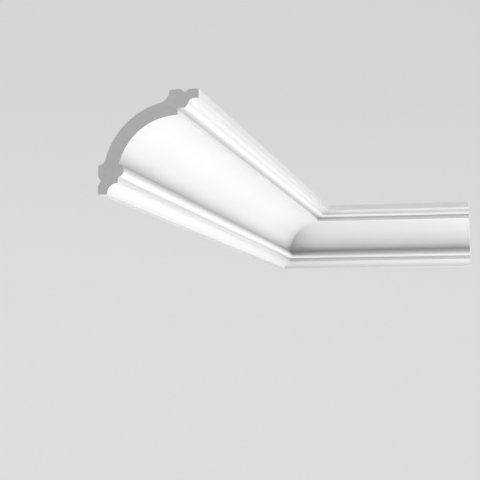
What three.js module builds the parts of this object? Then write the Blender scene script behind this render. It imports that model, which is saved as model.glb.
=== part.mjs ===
// A cornice corner: a long and a short length of coved moulding that run along two walls, in the angle
// under the ceiling, and meet in a mitre in the inside corner of the room.
// Both lengths have the same section. From the lip at the ceiling it goes down over a flat soffit,
// a wave, a step, the large cove, a half-round bead, a fillet and a small hollow to the foot at the wall.
// Behind the cove the section is open, and it touches the wall and the ceiling on two pads,
// each with a V groove that keys the adhesive.

import * as THREE from 'three';

// Driving dimensions, in millimetres.

// Whole moulding
const PROJECTION = 100; // from the wall to the lip, along the ceiling
const DROP = 100; // from the ceiling to the foot, down the wall
const LONG_RUN = 1015; // long length, from the corner of the room to its square end
const SHORT_RUN = 335; // short length, from the corner of the room to its square end
const MITRE_GAP = 0.3; // clearance between the two mitred faces

// Front, from the lip inwards and down
const LIP_FACE = 9; // height of the lip
const LIP_SOFFIT = 4.6; // flat under the lip
const WAVE_RUN = 11.9; // wave moulding, along the ceiling
const WAVE_DROP = 9.4; // wave moulding, down the wall
const WAVE_HOLLOW_SHARE = 0.475; // part of the wave that its hollow takes, the rest is its round
const STEP_SOFFIT = 4; // flat between the wave and the step
const STEP_FACE = 6.5; // upright face of the step above the cove
const BEAD_RADIUS = 6.2;
const BEAD_RISE = 23; // from the foot up to the centre of the bead
const BEAD_SET_IN = 0.4; // how far the centre of the bead lies behind the fillet under it
const HOLLOW_RADIUS = 11.1; // small hollow above the foot
const FOOT_WIDTH = 9; // underside of the foot, out from the wall

// Back
const COVE_WALL = 14.6; // thickness of the cove
const WALL_PAD = 28.6; // pad that touches the wall, up from the foot
const CEILING_PAD = 28.8; // pad that touches the ceiling, in from the lip
const KEY_WIDTH = 8.7; // mouth of the V groove in each pad
const KEY_DEPTH = 3;
const KEY_SETBACK = 13.4; // from the foot or the lip to the middle of the V groove

// Colour and fineness
const WHITE_PRIMER = { color: 0xf1f1ef, roughness: 0.55, metalness: 0 };
const ARC_STEPS = 20; // straight steps that each arc of the section is cut into
const SAME_POINT = 0.001; // two points of the section closer than this are one

// Places that follow from them, in the section: x goes out from the wall, y is up and 0 at the ceiling.
const waveEnd = new THREE.Vector2(PROJECTION - LIP_SOFFIT - WAVE_RUN, -LIP_FACE - WAVE_DROP);
const coveTop = new THREE.Vector2(waveEnd.x - STEP_SOFFIT, waveEnd.y - STEP_FACE);
const filletX = FOOT_WIDTH + HOLLOW_RADIUS;
const beadCentre = new THREE.Vector2(filletX - BEAD_SET_IN, BEAD_RISE - DROP);

// The cove leaves the step level and passes through the centre of the bead.
const coveRadius = coveTop.distanceToSquared(beadCentre) / (2 * (coveTop.y - beadCentre.y));
const coveCentre = new THREE.Vector2(coveTop.x, coveTop.y - coveRadius);
const backRadius = coveRadius + COVE_WALL;

const stripMiddle = (WALL_PAD + KEY_SETBACK + KEY_WIDTH / 2) / 2; // flat of the wall pad above its groove

function direction(from, to) {
  return Math.atan2(to.y - from.y, to.x - from.x);
}

// Points along an arc. The outline is drawn clockwise, so a round turns clockwise and a hollow the other way.
function arc(centre, radius, startAngle, endAngle, clockwise) {
  const curve = new THREE.EllipseCurve(centre.x, centre.y, radius, radius, startAngle, endAngle, clockwise);
  return curve.getPoints(ARC_STEPS);
}

function hollow(centre, radius, startAngle, endAngle) {
  return arc(centre, radius, startAngle, endAngle, false);
}

function round(centre, radius, startAngle, endAngle) {
  return arc(centre, radius, startAngle, endAngle, true);
}

// Two arcs that part level from the soffit, meet smoothly and end level at the bottom of the wave.
function wave() {
  const start = new THREE.Vector2(PROJECTION - LIP_SOFFIT, -LIP_FACE);
  const turn = 2 * Math.atan(WAVE_DROP / WAVE_RUN);
  const bothRadii = WAVE_RUN / Math.sin(turn);
  const hollowRadius = bothRadii * WAVE_HOLLOW_SHARE;
  const roundRadius = bothRadii - hollowRadius;
  const hollowCentre = new THREE.Vector2(start.x, start.y - hollowRadius);
  const roundCentre = new THREE.Vector2(waveEnd.x, waveEnd.y + roundRadius);
  return [
    ...hollow(hollowCentre, hollowRadius, Math.PI / 2, Math.PI / 2 + turn),
    ...round(roundCentre, roundRadius, turn - Math.PI / 2, -Math.PI / 2),
  ];
}

// The cove stops where the circle of the bead crosses it, and the bead stops at the fillet under it.
function coveAndBead() {
  const beadSpan = 2 * Math.asin(BEAD_RADIUS / (2 * coveRadius));
  const cove = hollow(coveCentre, coveRadius, Math.PI / 2, direction(coveCentre, beadCentre) - beadSpan);
  const beadTop = direction(beadCentre, cove[cove.length - 1]);
  return [...cove, ...round(beadCentre, BEAD_RADIUS, beadTop, -Math.acos(BEAD_SET_IN / BEAD_RADIUS))];
}

// A V groove across a pad, seen from its edge: `along` is the way the outline runs over the pad.
function keyGroove(middle, along, inwards) {
  return [
    middle.clone().addScaledVector(along, -KEY_WIDTH / 2),
    middle.clone().addScaledVector(inwards, KEY_DEPTH),
    middle.clone().addScaledVector(along, KEY_WIDTH / 2),
  ];
}

// The open back: a round against the wall, the back of the cove and a round against the ceiling.
// Each round starts square from the end of its pad and runs smoothly into the back of the cove.
function openBack() {
  const wallPadTop = WALL_PAD - DROP;
  const ceilingPadStart = PROJECTION - CEILING_PAD;
  const roundRadius = (distance, offset) =>
    (distance ** 2 + offset ** 2 - backRadius ** 2) / (2 * (backRadius - offset));
  const wallRadius = roundRadius(coveCentre.x, wallPadTop - coveCentre.y);
  const ceilingRadius = roundRadius(coveCentre.y, coveCentre.x - ceilingPadStart);
  const wallCentre = new THREE.Vector2(0, wallPadTop + wallRadius);
  const ceilingCentre = new THREE.Vector2(ceilingPadStart - ceilingRadius, 0);
  return [
    ...hollow(wallCentre, wallRadius, -Math.PI / 2, direction(wallCentre, coveCentre)),
    ...round(coveCentre, backRadius, direction(coveCentre, wallCentre), direction(coveCentre, ceilingCentre)),
    ...hollow(ceilingCentre, ceilingRadius, direction(ceilingCentre, coveCentre), 0),
  ];
}

// The whole section, clockwise from the ceiling pad.
function section() {
  const outwards = new THREE.Vector2(1, 0);
  const upwards = new THREE.Vector2(0, 1);
  const downwards = new THREE.Vector2(0, -1);
  const outline = [
    ...keyGroove(new THREE.Vector2(PROJECTION - KEY_SETBACK, 0), outwards, downwards),
    new THREE.Vector2(PROJECTION, 0),
    new THREE.Vector2(PROJECTION, -LIP_FACE),
    ...wave(),
    new THREE.Vector2(coveTop.x, waveEnd.y),
    ...coveAndBead(),
    ...hollow(new THREE.Vector2(filletX, -DROP), HOLLOW_RADIUS, Math.PI / 2, Math.PI),
    new THREE.Vector2(0, -DROP),
    ...keyGroove(new THREE.Vector2(0, KEY_SETBACK - DROP), upwards, outwards),
    ...openBack(),
  ];
  const corners = outline.filter((point, i) => point.distanceTo(outline.at(i - 1)) > SAME_POINT);
  return new THREE.Shape(corners);
}

// One length: the section drawn along +Z, from 0 to `run`, with the end in the corner of the room
// moved back by its distance from the wall, which makes the mitre.
function mouldingLength(name, run, cornerAtStart) {
  const geometry = new THREE.ExtrudeGeometry(section(), { depth: run, bevelEnabled: false });
  const places = geometry.attributes.position;
  const cornerEnd = cornerAtStart ? 0 : run;
  const awayFromCorner = cornerAtStart ? 1 : -1;
  for (let i = 0; i < places.count; i++) {
    const along = places.getZ(i);
    const setBack = places.getX(i) + MITRE_GAP / Math.SQRT2;
    if (Math.abs(along - cornerEnd) < run / 2) places.setZ(i, along + awayFromCorner * setBack);
  }
  const mesh = new THREE.Mesh(geometry, new THREE.MeshStandardMaterial(WHITE_PRIMER));
  mesh.name = name;
  mesh.rotation.x = Math.PI / 2; // the section stands upright, and the length runs towards -Y
  return mesh;
}

// The corner of the room under the ceiling: the long length runs towards -Y along the wall at x = 0,
// and the short length is turned on to the wall at y = 0 and runs towards +X.
const alongBackWall = new THREE.Group();
alongBackWall.rotation.z = -Math.PI / 2;
alongBackWall.position.x = SHORT_RUN;
alongBackWall.add(mouldingLength('short_cornice_length', SHORT_RUN, false));

// The origin is on the wall pad of the long length, halfway along it, in the flat above the V groove.
const cornice = new THREE.Group();
cornice.add(mouldingLength('long_cornice_length', LONG_RUN, true));
cornice.add(alongBackWall);
cornice.position.set(0, LONG_RUN / 2, DROP - stripMiddle);

export default cornice;
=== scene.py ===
"""A cornice corner in white primer: two lengths of coved moulding that meet in a mitred inside corner.

The section of a length is drawn as an outline and drawn out along its run. Then its arrises are
softened and its mitre is cut. The short length is the mirror image of a long one.
"""

import math

import bmesh
import bpy
from mathutils import Euler, Matrix, Vector


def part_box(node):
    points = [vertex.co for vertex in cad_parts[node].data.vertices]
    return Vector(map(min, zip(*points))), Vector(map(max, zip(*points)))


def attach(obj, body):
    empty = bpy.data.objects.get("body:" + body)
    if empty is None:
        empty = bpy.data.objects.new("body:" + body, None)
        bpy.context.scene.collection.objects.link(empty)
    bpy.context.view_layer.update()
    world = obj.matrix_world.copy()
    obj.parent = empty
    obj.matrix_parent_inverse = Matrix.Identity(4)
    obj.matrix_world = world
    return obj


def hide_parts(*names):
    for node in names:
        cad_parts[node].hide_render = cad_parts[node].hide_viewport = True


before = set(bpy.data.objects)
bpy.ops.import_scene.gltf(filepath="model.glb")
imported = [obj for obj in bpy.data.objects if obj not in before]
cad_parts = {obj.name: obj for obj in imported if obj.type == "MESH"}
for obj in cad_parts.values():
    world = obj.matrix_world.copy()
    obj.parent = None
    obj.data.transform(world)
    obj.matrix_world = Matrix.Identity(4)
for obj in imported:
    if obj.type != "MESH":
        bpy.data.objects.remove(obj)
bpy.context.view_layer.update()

MM = 0.001

# Places of the moulding, from the frame
LONG_NODE = "long_cornice_length"
SHORT_NODE = "short_cornice_length"
long_low, long_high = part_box(LONG_NODE)
short_low, short_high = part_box(SHORT_NODE)
CORNER = Vector((long_low.x, short_high.y, long_high.z))  # the inside corner, behind and above both lengths
LONG_RUN = CORNER.y - long_low.y
SHORT_RUN = short_high.x - CORNER.x
PROJECTION = long_high.x - long_low.x
DROP = long_high.z - long_low.z

# Sizes of the section's front
LIP_FACE = 9 * MM
LIP_SOFFIT = 4.6 * MM
WAVE_RUN = 11.9 * MM
WAVE_DROP = 9.4 * MM
WAVE_HOLLOW_SHARE = 0.475
STEP_SOFFIT = 4 * MM
STEP_FACE = 6.5 * MM
BEAD_RADIUS = 6.2 * MM
BEAD_RISE = 23 * MM
BEAD_SET_IN = 0.4 * MM
HOLLOW_RADIUS = 11.1 * MM
FOOT_WIDTH = 9 * MM

# Sizes of the section's back
COVE_THICKNESS = 14.6 * MM
BACK_PAD = 28.6 * MM
TOP_PAD = 28.8 * MM
KEY_WIDTH = 8.7 * MM
KEY_DEPTH = 3 * MM
KEY_SETBACK = 13.4 * MM

# Places on the arcs between which the painted shade changes, as angles upwards from straight out
WAVE_CREST = math.radians(-36)
COVE_MIDDLE = math.radians(120)
COVE_LOW = math.radians(140)
BEAD_SHOULDER = math.radians(25)
BEAD_CREST = math.radians(-32)

# Fineness and softened edges
ARC_STEP = 0.8 * MM  # length of the straight pieces that an arc is made of
LEAST_ARC_STEPS = 4
FLAT_STEP = 1 * MM  # length of the pieces that a flat of the front is made of
RING_SPACING = 24 * MM  # rings of points along a length
CAST_ARRIS = 0.35 * MM  # softening of the cast edges
SAWN_ARRIS = 0.12 * MM  # softening of the sawn edges
ARRIS_STEPS = 3
ARRIS_ANGLE = math.radians(20)  # an edge that turns more than this is softened
SHARP_ANGLE = math.radians(10)  # an edge that still turns more than this is shaded as sharp
SAME_PLACE = 0.001 * MM  # points nearer than this are one
ON_CUT = 0.0001 * MM  # points nearer than this to a cut lie on it
PARALLEL = 0.9  # cosine above which two directions count as the same
MITRE_JOINT = 0.02 * MM  # from the mitre's plane to each sawn face

# Order of the finishes on a length
PRIMED, BARE_BACK, SAWN = 0, 1, 2

# Painted shade of the creases and recesses: how far it darkens the primer, from 0 to 1, at the places of
# the front
PAINTED_SHADE = "painted_shade"
LIP_SHADE = 0.09
LIP_SOFFIT_SHADE = 0.20
WAVE_HOLLOW_SHADE = 0.32
WAVE_CREST_SHADE = 0.02
WAVE_END_SHADE = 0.56
STEP_SHADE = 0.90
COVE_TOP_SHADE = 0.06
COVE_MIDDLE_SHADE = 0.15
COVE_LOW_SHADE = 0.24
BEAD_TOP_SHADE = 0.82
BEAD_SHOULDER_SHADE = 0.68
BEAD_CREST_SHADE = 0.04
BEAD_FOOT_SHADE = 0.55
FILLET_SHADE = 0.18
HOLLOW_SHADE = 0.10
FOOT_SHADE = 0.02

# How closely the painted shade gathers towards the darker end of a stroke, where 1 is an even change
ROUND_GATHER = 2
CREASE_GATHER = 3
STEP_GATHER = 4

# How much painted shade the inside corner adds to that, and its mitre once more
CORNER_SHADE = 0.28
CORNER_REACH = 450 * MM  # from the corner to where its painted shade has faded
CORNER_SHARE_SHADE = 0.15  # a place with less painted shade than this takes less of the corner's painted shade
MITRE_SHADE = 0.52
MITRE_REACH = 56 * MM  # from the mitre to where its painted shade has faded
MITRE_SHARE_SHADE = 0.24  # a place with less painted shade than this takes less of the mitre's painted shade
MITRE_GATHER = 1.5  # how closely the mitre's painted shade gathers on the more shaded places
OUTER_SHARE = 0.37  # the part of the mitre's painted shade that the lip and the foot take

# Colours of the finishes, each from its darker to its lighter tone
PRIMER_WHITES = ((0.875, 0.877, 0.875), (0.893, 0.895, 0.893))
# The primer's colour where the painted shade is fullest
FULLY_SHADED_PRIMER = (0.415, 0.425, 0.43, 1)
BACK_GREYS = ((0.62, 0.62, 0.61), (0.74, 0.74, 0.73))
FOAM_GREYS = ((0.690, 0.697, 0.697), (0.780, 0.785, 0.785))
PAPER_GREYS = ((0.275, 0.28, 0.28), (0.29, 0.295, 0.295))

# Patterns of the finishes, as counts per metre, or for a line its length and width
PEEL_SCALE = 850
PRIMER_LINE = (300 * MM, 1.6 * MM)
PRIMER_CLOUD_SCALE = 22
GRAIN_SCALE = 420
BACK_LINE = (120 * MM, 2.5 * MM)
BACK_CLOUD_SCALE = 30
CELL_SCALE = 1900
SCORES_ACROSS = 900
SCORES_ALONG = 25
SCORE_SLANT = math.radians(23)
FOAM_CLOUD_SCALE = 120
FIBRE_SCALE = 90
NOISE_RANGE = (0.3, 0.7)  # between which nearly all of a noise lies


# Finishes

class Value:
    """A shader socket that adds a Math node when it is used in an expression."""

    def __init__(self, recipe, socket):
        self.recipe = recipe
        self.socket = socket

    def maths(self, operation, first, second):
        return self.recipe.node("Math", {"operation": operation}, {0: first, 1: second})[0]

    def __add__(self, other):
        return self.maths("ADD", self, other)

    def __radd__(self, other):
        return self.maths("ADD", other, self)

    def __sub__(self, other):
        return self.maths("SUBTRACT", self, other)

    def __rsub__(self, other):
        return self.maths("SUBTRACT", other, self)

    def __mul__(self, other):
        return self.maths("MULTIPLY", self, other)

    def __rmul__(self, other):
        return self.maths("MULTIPLY", other, self)


def find_socket(sockets, key):
    """The socket with this number, name or, for one of several with the same name, identifier."""
    for socket in sockets:
        if socket.identifier == key:
            return socket
    return sockets[key]


class Made:
    """A node whose outputs are taken by number, name or identifier."""

    def __init__(self, recipe, node):
        self.recipe = recipe
        self.outputs = node.outputs

    def __getitem__(self, key):
        return Value(self.recipe, find_socket(self.outputs, key))


class Recipe:
    """A material that is put together node by node."""

    def __init__(self, name):
        self.material = bpy.data.materials.new(name)
        self.material.use_nodes = True
        self.tree = self.material.node_tree
        self.tree.nodes.clear()

    def node(self, kind, settings=None, sockets=None):
        made = self.tree.nodes.new("ShaderNode" + kind)
        for key, value in (settings or {}).items():
            if key == "stops":
                self.set_stops(made.color_ramp, value)
            else:
                setattr(made, key, value)
        for key, value in (sockets or {}).items():
            socket = find_socket(made.inputs, key)
            if isinstance(value, Value):
                self.tree.links.new(value.socket, socket)
            else:
                socket.default_value = value
        return Made(self, made)

    @staticmethod
    def set_stops(ramp, stops):
        for element, (position, grey) in zip(ramp.elements, stops):
            element.position = position
            element.color = (*grey, 1)

    def place(self):
        return self.node("TexCoord")["Object"]

    def noise(self, place, scale, detail=2.0):
        return self.node("TexNoise", {}, {"Vector": place, "Scale": scale, "Detail": detail})["Fac"]

    def tone(self, amount, dark, light):
        """A colour between two, where amount is a noise or a blend of noises."""
        stops = list(zip(NOISE_RANGE, (dark, light)))
        return self.node("ValToRGB", {"stops": stops}, {"Fac": amount})["Color"]

    def mix(self, amount, first, second):
        """A colour from first to second."""
        settings = {"data_type": "RGBA"}
        made = self.node("Mix", settings, {"Factor_Float": amount, "A_Color": first, "B_Color": second})
        return made["Result_Color"]

    def finish(self, colour, roughness, height, depth, strength, specular, more=None):
        """The material with this surface, where height is the bump's pattern and depth its distance."""
        bump = self.node("Bump", {}, {"Height": height, "Distance": depth, "Strength": strength})
        sockets = {
            "Base Color": colour,
            "Roughness": roughness,
            "Specular IOR Level": specular,
            "Normal": bump["Normal"],
        }
        surface = self.node("BsdfPrincipled", {}, {**sockets, **(more or {})})
        self.node("OutputMaterial", {}, {"Surface": surface["BSDF"]})
        return self.material


def stretched(recipe, place, along, length, width):
    """A place squeezed so that a pattern of scale 1 is drawn out along one axis."""
    scale = [1 / width] * 3
    scale["XY".index(along)] = 1 / length
    return recipe.node("VectorMath", {"operation": "MULTIPLY"}, {0: place, 1: scale})["Vector"]


def white_primer(name, along):
    """Sprayed primer: white and satin, with a faint orange peel and fainter lines along the length. Its
    colour is darkened by painted shade in the creases and towards the inside corner.
    """
    recipe = Recipe(name)
    place = recipe.place()
    peel = recipe.noise(place, PEEL_SCALE)
    lines = recipe.noise(stretched(recipe, place, along, *PRIMER_LINE), 1)
    cloud = recipe.noise(place, PRIMER_CLOUD_SCALE, 3)
    white = recipe.tone(cloud, *PRIMER_WHITES)
    # painted shade of the creases and the inside corner, mixed into the primer's colour
    painted_shade = recipe.node("Attribute", {"attribute_name": PAINTED_SHADE})["Fac"]
    colour = recipe.mix(painted_shade, white, FULLY_SHADED_PRIMER)
    roughness = 0.44 + 0.10 * cloud + 0.04 * lines
    height = 0.7 * peel + 0.3 * lines
    return recipe.finish(colour, roughness, height, depth=0.03 * MM, strength=0.5, specular=0.4)


def bare_back(name, along):
    """The back as it leaves the mould: duller and coarser, with lines along the length and small pits."""
    recipe = Recipe(name)
    place = recipe.place()
    grain = recipe.noise(place, GRAIN_SCALE, 4)
    lines = recipe.noise(stretched(recipe, place, along, *BACK_LINE), 1, 3)
    cloud = recipe.noise(place, BACK_CLOUD_SCALE, 4)
    colour = recipe.tone(0.6 * cloud + 0.4 * lines, *BACK_GREYS)
    roughness = 0.62 + 0.2 * grain
    height = 0.6 * grain + 0.4 * lines
    return recipe.finish(colour, roughness, height, depth=0.12 * MM, strength=0.6, specular=0.3)


def sawn_foam(name):
    """The cut end: bare grey foam with fine closed cells and the slanting scores of a saw."""
    recipe = Recipe(name)
    place = recipe.place()
    parts = recipe.node("SeparateXYZ", {}, {"Vector": place})
    level = parts["X"] + parts["Y"]
    upright = parts["Z"]
    across = upright * math.cos(SCORE_SLANT) + level * math.sin(SCORE_SLANT)
    along = level * math.cos(SCORE_SLANT) - upright * math.sin(SCORE_SLANT)
    squeezed = {"X": across * SCORES_ACROSS, "Y": along * SCORES_ALONG}
    scores = recipe.noise(recipe.node("CombineXYZ", {}, squeezed)["Vector"], 1)
    cells = recipe.node("TexVoronoi", {}, {"Vector": place, "Scale": CELL_SCALE})["Distance"]
    cloud = recipe.noise(place, FOAM_CLOUD_SCALE, 4)
    shade = 0.55 * cloud + 0.25 * scores + 0.2 * cells
    colour = recipe.tone(shade, *FOAM_GREYS)
    roughness = 0.86 + 0.1 * scores
    height = 0.6 * cells + 0.4 * scores
    return recipe.finish(colour, roughness, height, depth=0.12 * MM, strength=0.7, specular=0.2)


# Section of the moulding

def from_0_to_1(amount):
    return min(1, max(0, amount))


class SectionPen:
    """Draws the outline of the section as edges, from point to point, in the upright plane of the corner.

    A point is (out, down): how far it lies in front of the back pad and under the top pad. Each point also
    carries the painted shade that darkens the primer there.
    """

    def __init__(self, out, down):
        self.bm = bmesh.new()
        self.back = self.bm.edges.layers.int.new("back")
        self.painted_shade = self.bm.verts.layers.float.new(PAINTED_SHADE)
        self.grey = LIP_SHADE
        self.drawing_back = False
        self.tip = bmesh.ops.create_vert(self.bm, co=self.place(out, down))["vert"][0]
        self.tip[self.painted_shade] = self.grey

    @staticmethod
    def place(out, down):
        return CORNER + Vector((out, 0, -down))

    def line(self, out, down, grey=0, gather=1):
        """A straight stroke to a point, with the painted shade that the stroke ends in."""
        start = self.tip.co.copy()
        end = self.place(out, down)
        steps = 1 if self.drawing_back else math.ceil((end - start).length / FLAT_STEP)
        for step in range(steps):
            drawn = bmesh.ops.extrude_vert_indiv(self.bm, verts=[self.tip])
            self.tip = drawn["verts"][0]
            self.tip.co = start.lerp(end, (step + 1) / steps)
            self.tip[self.painted_shade] = self.blend(grey, gather, (step + 1) / steps)
            self.mark(drawn["edges"])
        self.grey = grey

    def arc(self, centre, end, clockwise, grey, gather):
        """A curved stroke about a centre to a point, with the painted shade that the stroke ends in."""
        middle = self.place(*centre)
        start_angle = self.angle(middle, self.tip.co)
        end_angle = self.angle(middle, self.place(*end))
        sweep = (start_angle - end_angle if clockwise else end_angle - start_angle) % math.tau
        steps = max(LEAST_ARC_STEPS, math.ceil((self.tip.co - middle).length * sweep / ARC_STEP))
        turn = -1 if clockwise else 1
        before = set(self.bm.edges)
        turned = bmesh.ops.spin(
            self.bm, geom=[self.tip], cent=middle, axis=(0, 1, 0), dvec=(0, 0, 0),
            angle=-turn * sweep, steps=steps)
        start = self.tip
        self.tip = next(part for part in turned["geom_last"] if isinstance(part, bmesh.types.BMVert))
        drawn = [edge for edge in self.bm.edges if edge not in before]
        for vert in {vert for edge in drawn for vert in edge.verts} - {start}:
            turned_by = turn * (self.angle(middle, vert.co) - start_angle) % math.tau
            vert[self.painted_shade] = self.blend(grey, gather, turned_by / sweep)
        self.grey = grey
        self.mark(drawn)

    def hollow(self, centre, end, grey=0, gather=1):
        self.arc(centre, end, False, grey, gather)

    def round(self, centre, end, grey=0, gather=1):
        self.arc(centre, end, True, grey, gather)

    def blend(self, grey, gather, part):
        """The painted shade at a part of a stroke, which gathers at the darker one of its ends."""
        nearness = part if grey > self.grey else 1 - part
        light, dark = sorted((self.grey, grey))
        return light + (dark - light) * from_0_to_1(nearness)**gather

    def mark(self, edges):
        for edge in edges:
            edge[self.back] = int(self.drawing_back)

    @staticmethod
    def angle(middle, point):
        return math.atan2(point.z - middle.z, point.x - middle.x)

    def close(self):
        """Joins the end to the start and fills the outline."""
        bmesh.ops.remove_doubles(self.bm, verts=self.bm.verts[:], dist=SAME_PLACE)
        bmesh.ops.contextual_create(self.bm, geom=self.bm.edges[:])
        return self.bm


def on_circle(centre, radius, angle):
    """The point of a circle at an angle that is counted upwards from straight out."""
    return (centre[0] + radius * math.cos(angle), centre[1] - radius * math.sin(angle))


def towards(start, end, distance):
    """The point at a distance from start on the line to end."""
    line = Vector(end) - Vector(start)
    return tuple(Vector(start) + line * (distance / line.length))


def draw_wave(pen, start, end):
    """The wave moulding: a hollow that parts level from the lip, then a round that ends level."""
    turn = 2 * math.atan(WAVE_DROP / WAVE_RUN)
    radii = WAVE_RUN / math.sin(turn)
    round_radius = radii * (1 - WAVE_HOLLOW_SHARE)
    hollow_centre = (start[0], start[1] + radii * WAVE_HOLLOW_SHARE)
    round_centre = (end[0], end[1] - round_radius)
    hollow_end = towards(hollow_centre, round_centre, radii * WAVE_HOLLOW_SHARE)
    pen.hollow(hollow_centre, hollow_end, WAVE_HOLLOW_SHADE)
    pen.round(round_centre, on_circle(round_centre, round_radius, WAVE_CREST), WAVE_CREST_SHADE)
    pen.round(round_centre, end, WAVE_END_SHADE, ROUND_GATHER)


def draw_key(pen, middle, along, inwards):
    """A V groove across a pad that keys the adhesive."""
    for step_along, step_in in ((-KEY_WIDTH / 2, 0), (0, KEY_DEPTH), (KEY_WIDTH / 2, 0)):
        pen.line(*(middle + along * step_along + inwards * step_in))


def moulding_section():
    """The section, clockwise from the top pad: lip, wave, step, cove, bead, hollow, foot and back."""
    wave_start = (PROJECTION - LIP_SOFFIT, LIP_FACE)
    wave_end = (wave_start[0] - WAVE_RUN, LIP_FACE + WAVE_DROP)
    cove_top = (wave_end[0] - STEP_SOFFIT, wave_end[1] + STEP_FACE)
    fillet = FOOT_WIDTH + HOLLOW_RADIUS
    bead = (fillet - BEAD_SET_IN, DROP - BEAD_RISE)

    # The cove leaves the step level and passes through the centre of the bead.
    to_bead = Vector(cove_top) - Vector(bead)
    cove_radius = to_bead.length_squared / (2 * -to_bead.y)
    cove = (cove_top[0], cove_top[1] + cove_radius)
    back_radius = cove_radius + COVE_THICKNESS

    # The bead's circle crosses the cove's, seen from the centre of the cove.
    span = 2 * math.asin(BEAD_RADIUS / (2 * cove_radius))
    bead_angle = math.atan2(cove[1] - bead[1], bead[0] - cove[0]) - span
    bead_top = on_circle(cove, cove_radius, bead_angle)
    bead_foot = (fillet, bead[1] + math.sqrt(BEAD_RADIUS**2 - BEAD_SET_IN**2))

    # Two rounds stand square on the ends of the pads and run smoothly into the back of the cove.
    def round_radius(distance, offset):
        return (distance**2 + offset**2 - back_radius**2) / (2 * (back_radius - offset))

    back_pad_top = DROP - BACK_PAD
    top_pad_start = PROJECTION - TOP_PAD
    back_round = (0, back_pad_top - round_radius(cove[0], cove[1] - back_pad_top))
    top_round = (top_pad_start - round_radius(cove[1], cove[0] - top_pad_start), 0)

    pen = SectionPen(PROJECTION, 0)
    pen.line(PROJECTION, LIP_FACE, LIP_SHADE)
    pen.line(*wave_start, LIP_SOFFIT_SHADE)
    draw_wave(pen, wave_start, wave_end)
    pen.line(cove_top[0], wave_end[1], STEP_SHADE)
    pen.line(*cove_top, COVE_TOP_SHADE, STEP_GATHER)
    pen.hollow(cove, on_circle(cove, cove_radius, COVE_MIDDLE), COVE_MIDDLE_SHADE)
    pen.hollow(cove, on_circle(cove, cove_radius, COVE_LOW), COVE_LOW_SHADE)
    pen.hollow(cove, bead_top, BEAD_TOP_SHADE, CREASE_GATHER)
    pen.round(bead, on_circle(bead, BEAD_RADIUS, BEAD_SHOULDER), BEAD_SHOULDER_SHADE)
    pen.round(bead, on_circle(bead, BEAD_RADIUS, BEAD_CREST), BEAD_CREST_SHADE)
    pen.round(bead, bead_foot, BEAD_FOOT_SHADE, ROUND_GATHER)
    pen.line(fillet, DROP - HOLLOW_RADIUS, FILLET_SHADE, CREASE_GATHER)
    pen.hollow((fillet, DROP), (FOOT_WIDTH, DROP), HOLLOW_SHADE)
    pen.line(0, DROP, FOOT_SHADE)
    pen.drawing_back = True
    draw_key(pen, Vector((0, DROP - KEY_SETBACK)), Vector((0, -1)), Vector((1, 0)))
    pen.line(0, back_pad_top)
    pen.hollow(back_round, towards(cove, back_round, back_radius))
    pen.round(cove, towards(cove, top_round, back_radius))
    pen.hollow(top_round, (top_pad_start, 0))
    draw_key(pen, Vector((PROJECTION - KEY_SETBACK, 0)), Vector((1, 0)), Vector((0, 1)))
    pen.line(PROJECTION, 0)
    return pen.close(), pen.back


# A length of the moulding

def edge_angle(edge):
    return edge.calc_face_angle(0)


def soften(bm, edges, width, finish=-1):
    """Rounds edges off, in one finish or, for -1, in those of the faces beside each edge."""
    bmesh.ops.bevel(
        bm, geom=edges, offset=width, offset_type="OFFSET", segments=ARRIS_STEPS, profile=0.5,
        affect="EDGES", clamp_overlap=True, material=finish)


def is_beside(edge, finish):
    return any(face.material_index == finish for face in edge.link_faces)


def runs_along(edge):
    """True for an edge that runs the length of the moulding, which is still drawn out along Y."""
    start, end = edge.verts
    return abs(end.co.y - start.co.y) > PARALLEL * edge.calc_length()


def cut_mitre(bm):
    """Cuts the corner end at half a right angle and closes it."""
    outwards = Vector((1, 1, 0)).normalized()
    cut = bmesh.ops.bisect_plane(
        bm, geom=bm.verts[:] + bm.edges[:] + bm.faces[:], dist=ON_CUT,
        plane_co=CORNER - outwards * MITRE_JOINT, plane_no=outwards, clear_outer=True)
    rim = [part for part in cut["geom_cut"] if isinstance(part, bmesh.types.BMEdge)]
    return bmesh.ops.contextual_create(bm, geom=rim)["faces"]


def paint_corner_shade(bm):
    """Adds painted shade to the front towards the inside corner and more towards the mitre, but less to its
    crests, its lip and its foot than to the rest.
    """
    painted_shade = bm.verts.layers.float[PAINTED_SHADE]
    wave_foot = -LIP_FACE - WAVE_DROP
    bead_top = BEAD_RISE + BEAD_RADIUS - DROP
    for vert in bm.verts:
        grey = vert[painted_shade]
        out, back, up = vert.co - CORNER
        near_corner = from_0_to_1(1 + back / CORNER_REACH)
        near_mitre = from_0_to_1(1 + (back + out) / MITRE_REACH)
        off_cove = from_0_to_1(max((up - wave_foot) / WAVE_DROP, (bead_top - up) / BEAD_RADIUS))
        corner_share = from_0_to_1(grey / CORNER_SHARE_SHADE)
        mitre_share = from_0_to_1(grey / MITRE_SHARE_SHADE)**MITRE_GATHER
        mitre_share *= 1 - (1 - OUTER_SHARE) * off_cove
        # painted shade towards the inside corner, and more at the mitre
        vert[painted_shade] += CORNER_SHADE * near_corner**2 * corner_share
        vert[painted_shade] += MITRE_SHADE * near_mitre**2 * mitre_share


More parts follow.
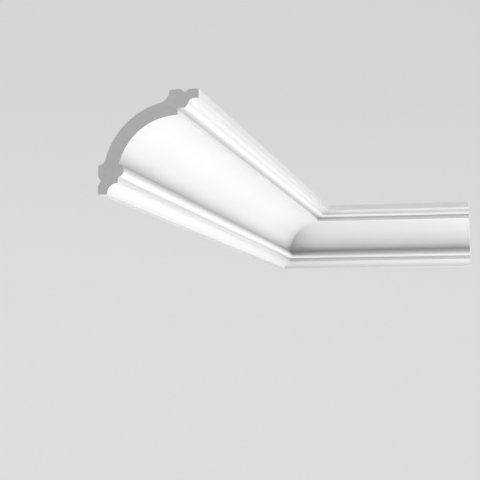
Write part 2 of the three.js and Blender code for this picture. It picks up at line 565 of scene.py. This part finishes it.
def long_hand_length(run):
    """A length that runs from the corner towards -Y, with its back on the side of -X."""
    bm, back = moulding_section()
    drawn = bmesh.ops.extrude_face_region(bm, geom=bm.faces[:])
    end_verts = [part for part in drawn["geom"] if isinstance(part, bmesh.types.BMVert)]
    bmesh.ops.translate(bm, verts=end_verts, vec=(0, -run, 0))
    bmesh.ops.recalc_face_normals(bm, faces=bm.faces[:])
    for face in bm.faces:
        on_back = any(edge[back] for edge in face.edges if not runs_along(edge))
        sawn = abs(face.normal.y) > PARALLEL
        face.material_index = SAWN if sawn else BARE_BACK if on_back else PRIMED

    cast_edges = [edge for edge in bm.edges if runs_along(edge) and edge_angle(edge) > ARRIS_ANGLE]
    primed_edges = [edge for edge in cast_edges if is_beside(edge, PRIMED)]
    back_edges = [edge for edge in cast_edges if not is_beside(edge, PRIMED)]
    soften(bm, primed_edges, CAST_ARRIS, PRIMED)
    soften(bm, back_edges, CAST_ARRIS, BARE_BACK)
    for face in cut_mitre(bm):
        face.material_index = SAWN
    lengthways = [edge for edge in bm.edges if runs_along(edge) and edge.calc_length() > RING_SPACING]
    bmesh.ops.subdivide_edges(bm, edges=lengthways, cuts=round(run / RING_SPACING), use_grid_fill=True)
    paint_corner_shade(bm)
    end = CORNER.y - run
    end_rim = [edge for edge in bm.edges if all(abs(vert.co.y - end) < SAME_PLACE for vert in edge.verts)]
    soften(bm, end_rim, SAWN_ARRIS)
    return bm


def finished_length(name, bm, finishes, node):
    """Turns a length into an object that stands for its node."""
    bmesh.ops.remove_doubles(bm, verts=bm.verts[:], dist=SAME_PLACE)
    bmesh.ops.recalc_face_normals(bm, faces=bm.faces[:])
    for face in bm.faces:
        face.smooth = True
    for edge in bm.edges:
        edge.smooth = edge_angle(edge) < SHARP_ANGLE
    mesh = bpy.data.meshes.new(name)
    bm.to_mesh(mesh)
    bm.free()
    for finish in finishes:
        mesh.materials.append(finish)
    piece = bpy.data.objects.new(name, mesh)
    bpy.context.scene.collection.objects.link(piece)
    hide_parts(node)
    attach(piece, "root")


def long_length(sawn):
    primer = white_primer("White primer, long length", "Y")
    back = bare_back("Bare back, long length", "Y")
    bm = long_hand_length(LONG_RUN)
    finished_length("long_moulding", bm, (primer, back, sawn), LONG_NODE)


def short_length(sawn):
    """The mirror image of a long length in the plane of the mitre."""
    primer = white_primer("White primer, short length", "X")
    back = bare_back("Bare back, short length", "X")
    bm = long_hand_length(SHORT_RUN)
    swap = Matrix(((0, -1, 0, 0), (-1, 0, 0, 0), (0, 0, 1, 0), (0, 0, 0, 1)))
    about_corner = Matrix.Translation(CORNER) @ swap @ Matrix.Translation(-CORNER)
    bmesh.ops.transform(bm, matrix=about_corner, verts=bm.verts[:])
    finished_length("short_moulding", bm, (primer, back, sawn), SHORT_NODE)


# Studio

CAMERA_PLACE = CORNER + Vector((371.6, -2102.7, -254.5)) * MM
CAMERA_TURN = math.radians(11.996)
CAMERA_LIFT = math.radians(5.531)
PICTURE_SIDE = 480
FOCAL_PIXELS = 1189.65
SENSOR_WIDTH = 36  # in millimetres, as the lens is
FARTHEST_SEEN = 50  # in metres


def set_camera():
    data = bpy.data.cameras.new("Camera")
    data.sensor_width = SENSOR_WIDTH
    data.lens = FOCAL_PIXELS / PICTURE_SIDE * SENSOR_WIDTH
    data.clip_end = FARTHEST_SEEN
    camera = bpy.data.objects.new("Camera", data)
    camera.location = CAMERA_PLACE
    camera.rotation_euler = (math.pi / 2 + CAMERA_LIFT, 0, CAMERA_TURN)
    bpy.context.scene.collection.objects.link(camera)
    bpy.context.scene.camera = camera


STUDIO_RADIUS = 5.0
FLOOR_DEPTH = 3.2  # from the top of the moulding down to the floor
STUDIO_RISE = 4.0  # from the top of the moulding up to the top of the studio
CURVE_RADIUS = 1.6
CURVE_STEPS = 16
ROUND_STEPS = 96
PAPER_GLOW = 0.60


def pale_paper():
    recipe = Recipe("Pale paper")
    fibre = recipe.noise(recipe.place(), FIBRE_SCALE, 3)
    colour = recipe.tone(fibre, *PAPER_GREYS)
    glow = {"Emission Color": (1, 1, 1, 1), "Emission Strength": PAPER_GLOW}
    return recipe.finish(colour, 0.9, fibre, depth=0.05 * MM, strength=0.1, specular=0.1, more=glow)


def round_studio():
    """A closed round tent of pale paper, its floor, side and top in one, that adds no light of its own."""
    bm = bmesh.new()
    centre = Vector((CORNER.x, 0, CORNER.z - FLOOR_DEPTH))
    top = Vector((CORNER.x, 0, CORNER.z + STUDIO_RISE))
    outwards = Vector((STUDIO_RADIUS - CURVE_RADIUS, 0, 0))
    upwards = Vector((0, 0, CURVE_RADIUS))

    def draw_on(tip, place):
        drawn = bmesh.ops.extrude_vert_indiv(bm, verts=[tip])["verts"][0]
        drawn.co = place
        return drawn

    def curve_on(tip, middle):
        curve = bmesh.ops.spin(
            bm, geom=[tip], cent=middle, axis=(0, 1, 0), dvec=(0, 0, 0),
            angle=-math.pi / 2, steps=CURVE_STEPS)
        return next(part for part in curve["geom_last"] if isinstance(part, bmesh.types.BMVert))

    floor_middle = bmesh.ops.create_vert(bm, co=centre)["vert"][0]
    floor_edge = draw_on(floor_middle, centre + outwards)
    side_foot = curve_on(floor_edge, centre + outwards + upwards)
    side_top = draw_on(side_foot, Vector((side_foot.co.x, 0, top.z - CURVE_RADIUS)))
    top_edge = curve_on(side_top, top + outwards - upwards)
    draw_on(top_edge, top)
    bmesh.ops.spin(
        bm, geom=bm.verts[:] + bm.edges[:], cent=centre, axis=(0, 0, 1), dvec=(0, 0, 0),
        angle=math.tau, steps=ROUND_STEPS, use_merge=True)
    bmesh.ops.remove_doubles(bm, verts=bm.verts[:], dist=MM)
    bmesh.ops.recalc_face_normals(bm, faces=bm.faces[:])
    bmesh.ops.reverse_faces(bm, faces=bm.faces[:])
    for face in bm.faces:
        face.smooth = True
    mesh = bpy.data.meshes.new("studio")
    bm.to_mesh(mesh)
    bm.free()
    mesh.materials.append(pale_paper())
    studio = bpy.data.objects.new("studio", mesh)
    studio.visible_diffuse = False
    studio.visible_glossy = False
    studio.visible_shadow = False
    bpy.context.scene.collection.objects.link(studio)


def soft_light(name, place, target, size, power):
    data = bpy.data.lights.new(name, "AREA")
    data.shape = "DISK"
    data.size = size
    data.energy = power
    lamp = bpy.data.objects.new(name, data)
    lamp.location = place
    lamp.rotation_euler = (target - place).to_track_quat("-Z", "Y").to_euler()
    lamp.visible_camera = False
    bpy.context.scene.collection.objects.link(lamp)


LIT_PLACE = CORNER + Vector((100, -450, -50)) * MM  # that all lights point at
SIDE_LIGHT_DISTANCE = 3.2
SIDE_LIGHT_SIZE = 3.0
SIDE_LIGHTS = (  # turn from +X and lift in degrees, and power in watts
    ("Side light", 30, -20, 62),
    ("Front light", -45, -20, 37.5),
    ("Low front light", -45, -60, 40.5),
    ("Light from below", 0, -89, 55),
    ("Back light", 135, 15, 45),
)
OVERHEAD_HEIGHT = 1.2
OVERHEAD_SIZE = 7.0
OVERHEAD_POWER = 102
AIR_COLOUR = (0.95, 0.97, 1.0, 1)
AIR_GLOW = 0.02


def light_studio():
    world = bpy.data.worlds.new("Studio air")
    world.use_nodes = True
    world.node_tree.nodes["Background"].inputs["Color"].default_value = AIR_COLOUR
    world.node_tree.nodes["Background"].inputs["Strength"].default_value = AIR_GLOW
    bpy.context.scene.world = world
    for name, turn, lift, power in SIDE_LIGHTS:
        direction = Vector((SIDE_LIGHT_DISTANCE, 0, 0))
        direction.rotate(Euler((0, -math.radians(lift), math.radians(turn))))
        soft_light(name, LIT_PLACE + direction, LIT_PLACE, SIDE_LIGHT_SIZE, power)
    overhead = LIT_PLACE + Vector((0, 0, OVERHEAD_HEIGHT))
    soft_light("Overhead fill", overhead, LIT_PLACE, OVERHEAD_SIZE, OVERHEAD_POWER)
    bpy.context.scene.view_settings.view_transform = "Standard"


set_camera()
sawn_finish = sawn_foam("Sawn foam")
long_length(sawn_finish)
short_length(sawn_finish)
round_studio()
light_studio()
